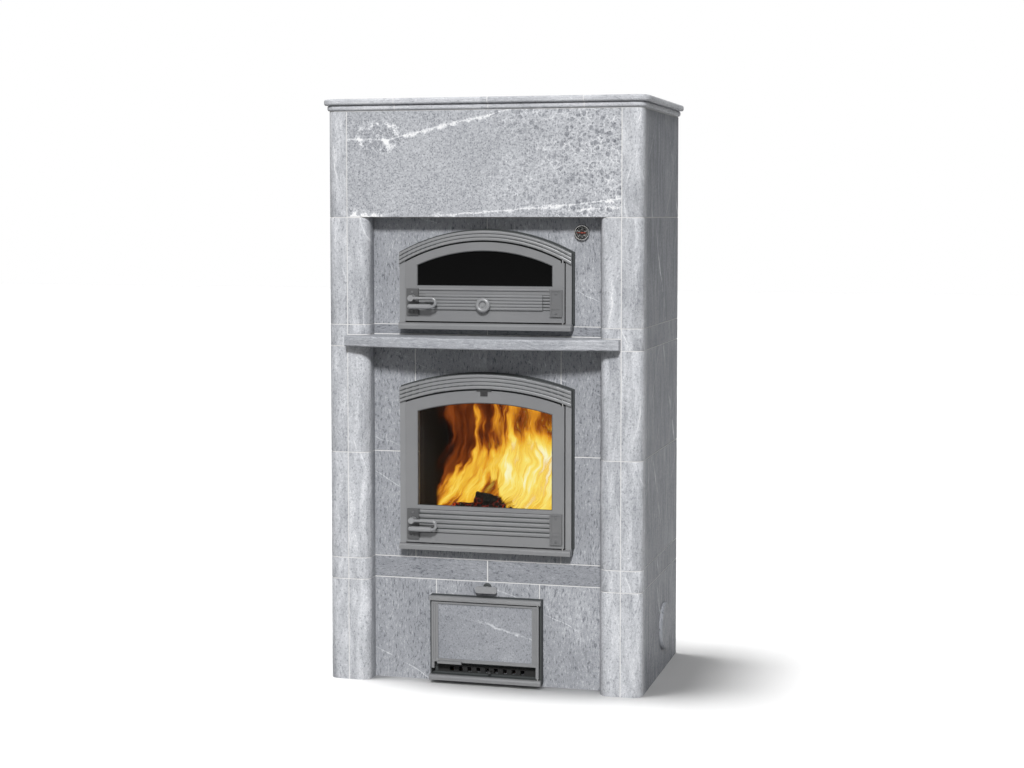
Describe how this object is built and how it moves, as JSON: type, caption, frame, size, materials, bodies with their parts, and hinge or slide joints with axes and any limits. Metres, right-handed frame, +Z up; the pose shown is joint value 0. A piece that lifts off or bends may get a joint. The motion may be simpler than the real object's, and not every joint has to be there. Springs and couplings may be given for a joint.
{
  "type": "soapstone heater",
  "caption": "Soapstone masonry heater with an arched bake oven over an arched firebox door, an ash door, a bow mantel shelf and a moulded cornice.",
  "frame": {"origin": "on the floor under the middle of the masonry shell", "axes": "+Z up, the doors face -Y, +X to the right of a viewer facing the doors"},
  "size_m": [1.086, 0.7679, 1.912],
  "materials": {
    "soapstone": "matte",
    "firebrick": "matte",
    "mortar": "matte",
    "black_iron": "matte",
    "grey_iron": "satin",
    "steel_sheet": "satin",
    "handle_steel": "satin",
    "clear_glass": "polished",
    "dark_glass": "polished",
    "seal_rope": "matte",
    "dial_black": "satin",
    "needle_red": "satin"
  },
  "bodies": {
    "heater": {"side_wall_stones": "soapstone", "pier_stones": "soapstone", "back_wall_stones": "soapstone", "base_front_stones": "soapstone", "band_stones": "soapstone", "firebox_wall_stones": "soapstone", "oven_wall_stones": "soapstone", "frieze_stone": "soapstone", "mantel_shelf": "soapstone", "cornice_stones": "soapstone", "base_slab": "firebrick", "ash_chamber_walls": "firebrick", "firebox_floor": "firebrick", "firebox_lining": "firebrick", "oven_floor": "firebrick", "oven_walls": "firebrick", "oven_vault": "firebrick", "upper_core_walls": "firebrick", "roof_slab": "firebrick", "mortar_joints": "mortar", "fire_grate": "black_iron", "flue_collar": "black_iron", "ash_pan": "steel_sheet", "fire_door_frame": "grey_iron", "fire_door_sill": "grey_iron", "oven_door_frame": "grey_iron", "oven_door_sill": "grey_iron", "hinge_pins": "handle_steel", "ash_door_frame": "grey_iron", "damper_rosette": "grey_iron", "thermometer_case": "handle_steel", "thermometer_dial": "dial_black", "thermometer_glass": "clear_glass"},
    "fire_door": {"fire_door_leaf": "grey_iron", "fire_door_glass": "clear_glass", "fire_glass_clips": "steel_sheet", "fire_door_seal": "seal_rope", "fire_hinge_cover": "grey_iron", "fire_latch_plate": "grey_iron", "fire_top_catch": "grey_iron"},
    "fire_handle": {"fire_door_handle": "handle_steel", "fire_latch_spindle": "handle_steel"},
    "oven_door": {"oven_door_leaf": "grey_iron", "oven_door_glass": "dark_glass", "oven_glass_clips": "steel_sheet", "oven_door_seal": "seal_rope", "oven_hinge_cover": "grey_iron", "oven_latch_plate": "grey_iron"},
    "oven_handle": {"oven_door_handle": "handle_steel", "oven_latch_spindle": "handle_steel"},
    "oven_air": {"oven_air_bar": "grey_iron", "oven_air_knob": "grey_iron"},
    "ash_door": {"ash_door_leaf": "grey_iron", "ash_door_panel": "soapstone"},
    "ash_air": {"ash_air_slide": "grey_iron"},
    "damper": {"damper_rod": "handle_steel"},
    "needle": {"thermometer_needle": "needle_red"},
    "left_soot_plug": {"left_soot_plug": "soapstone"},
    "right_soot_plug": {"right_soot_plug": "soapstone"}
  },
  "joints": [
    {"name": "fire_door_hinge", "type": "hinge", "parent": "heater", "child": "fire_door", "pos_m": [0.2605, -0.288, 0.716], "axis": [0, 0, 1], "range_deg": [0, 100]},
    {"name": "fire_handle_turn", "type": "hinge", "parent": "fire_door", "child": "fire_handle", "pos_m": [-0.238, -0.3, 0.539], "axis": [0, -1, 0], "range_deg": [0, 40]},
    {"name": "oven_door_hinge", "type": "hinge", "parent": "heater", "child": "oven_door", "pos_m": [0.2605, -0.288, 1.32], "axis": [0, 0, 1], "range_deg": [0, 100]},
    {"name": "oven_handle_turn", "type": "hinge", "parent": "oven_door", "child": "oven_handle", "pos_m": [-0.238, -0.3, 1.266], "axis": [0, -1, 0], "range_deg": [0, 40]},
    {"name": "oven_air_slide", "type": "slide", "parent": "oven_door", "child": "oven_air", "axis": [1, 0, 0], "range_m": [-0.018, 0.018]},
    {"name": "ash_door_hinge", "type": "hinge", "parent": "heater", "child": "ash_door", "pos_m": [0.177, -0.284, 0.15], "axis": [0, 0, 1], "range_deg": [0, 100]},
    {"name": "ash_air_slide", "type": "slide", "parent": "heater", "child": "ash_air", "axis": [1, 0, 0], "range_m": [-0.015, 0.015]},
    {"name": "damper_pull", "type": "slide", "parent": "heater", "child": "damper", "axis": [0, -1, 0], "range_m": [0, 0.05]},
    {"name": "needle_turn", "type": "hinge", "parent": "heater", "child": "needle", "pos_m": [0.316, -0.258, 1.479], "axis": [0, -1, 0], "range_deg": [-120, 120]},
    {"name": "left_plug_pull", "type": "slide", "parent": "heater", "child": "left_soot_plug", "axis": [-1, 0, 0], "range_m": [0, 0.07]},
    {"name": "right_plug_pull", "type": "slide", "parent": "heater", "child": "right_soot_plug", "axis": [1, 0, 0], "range_m": [0, 0.07]}
  ]
}
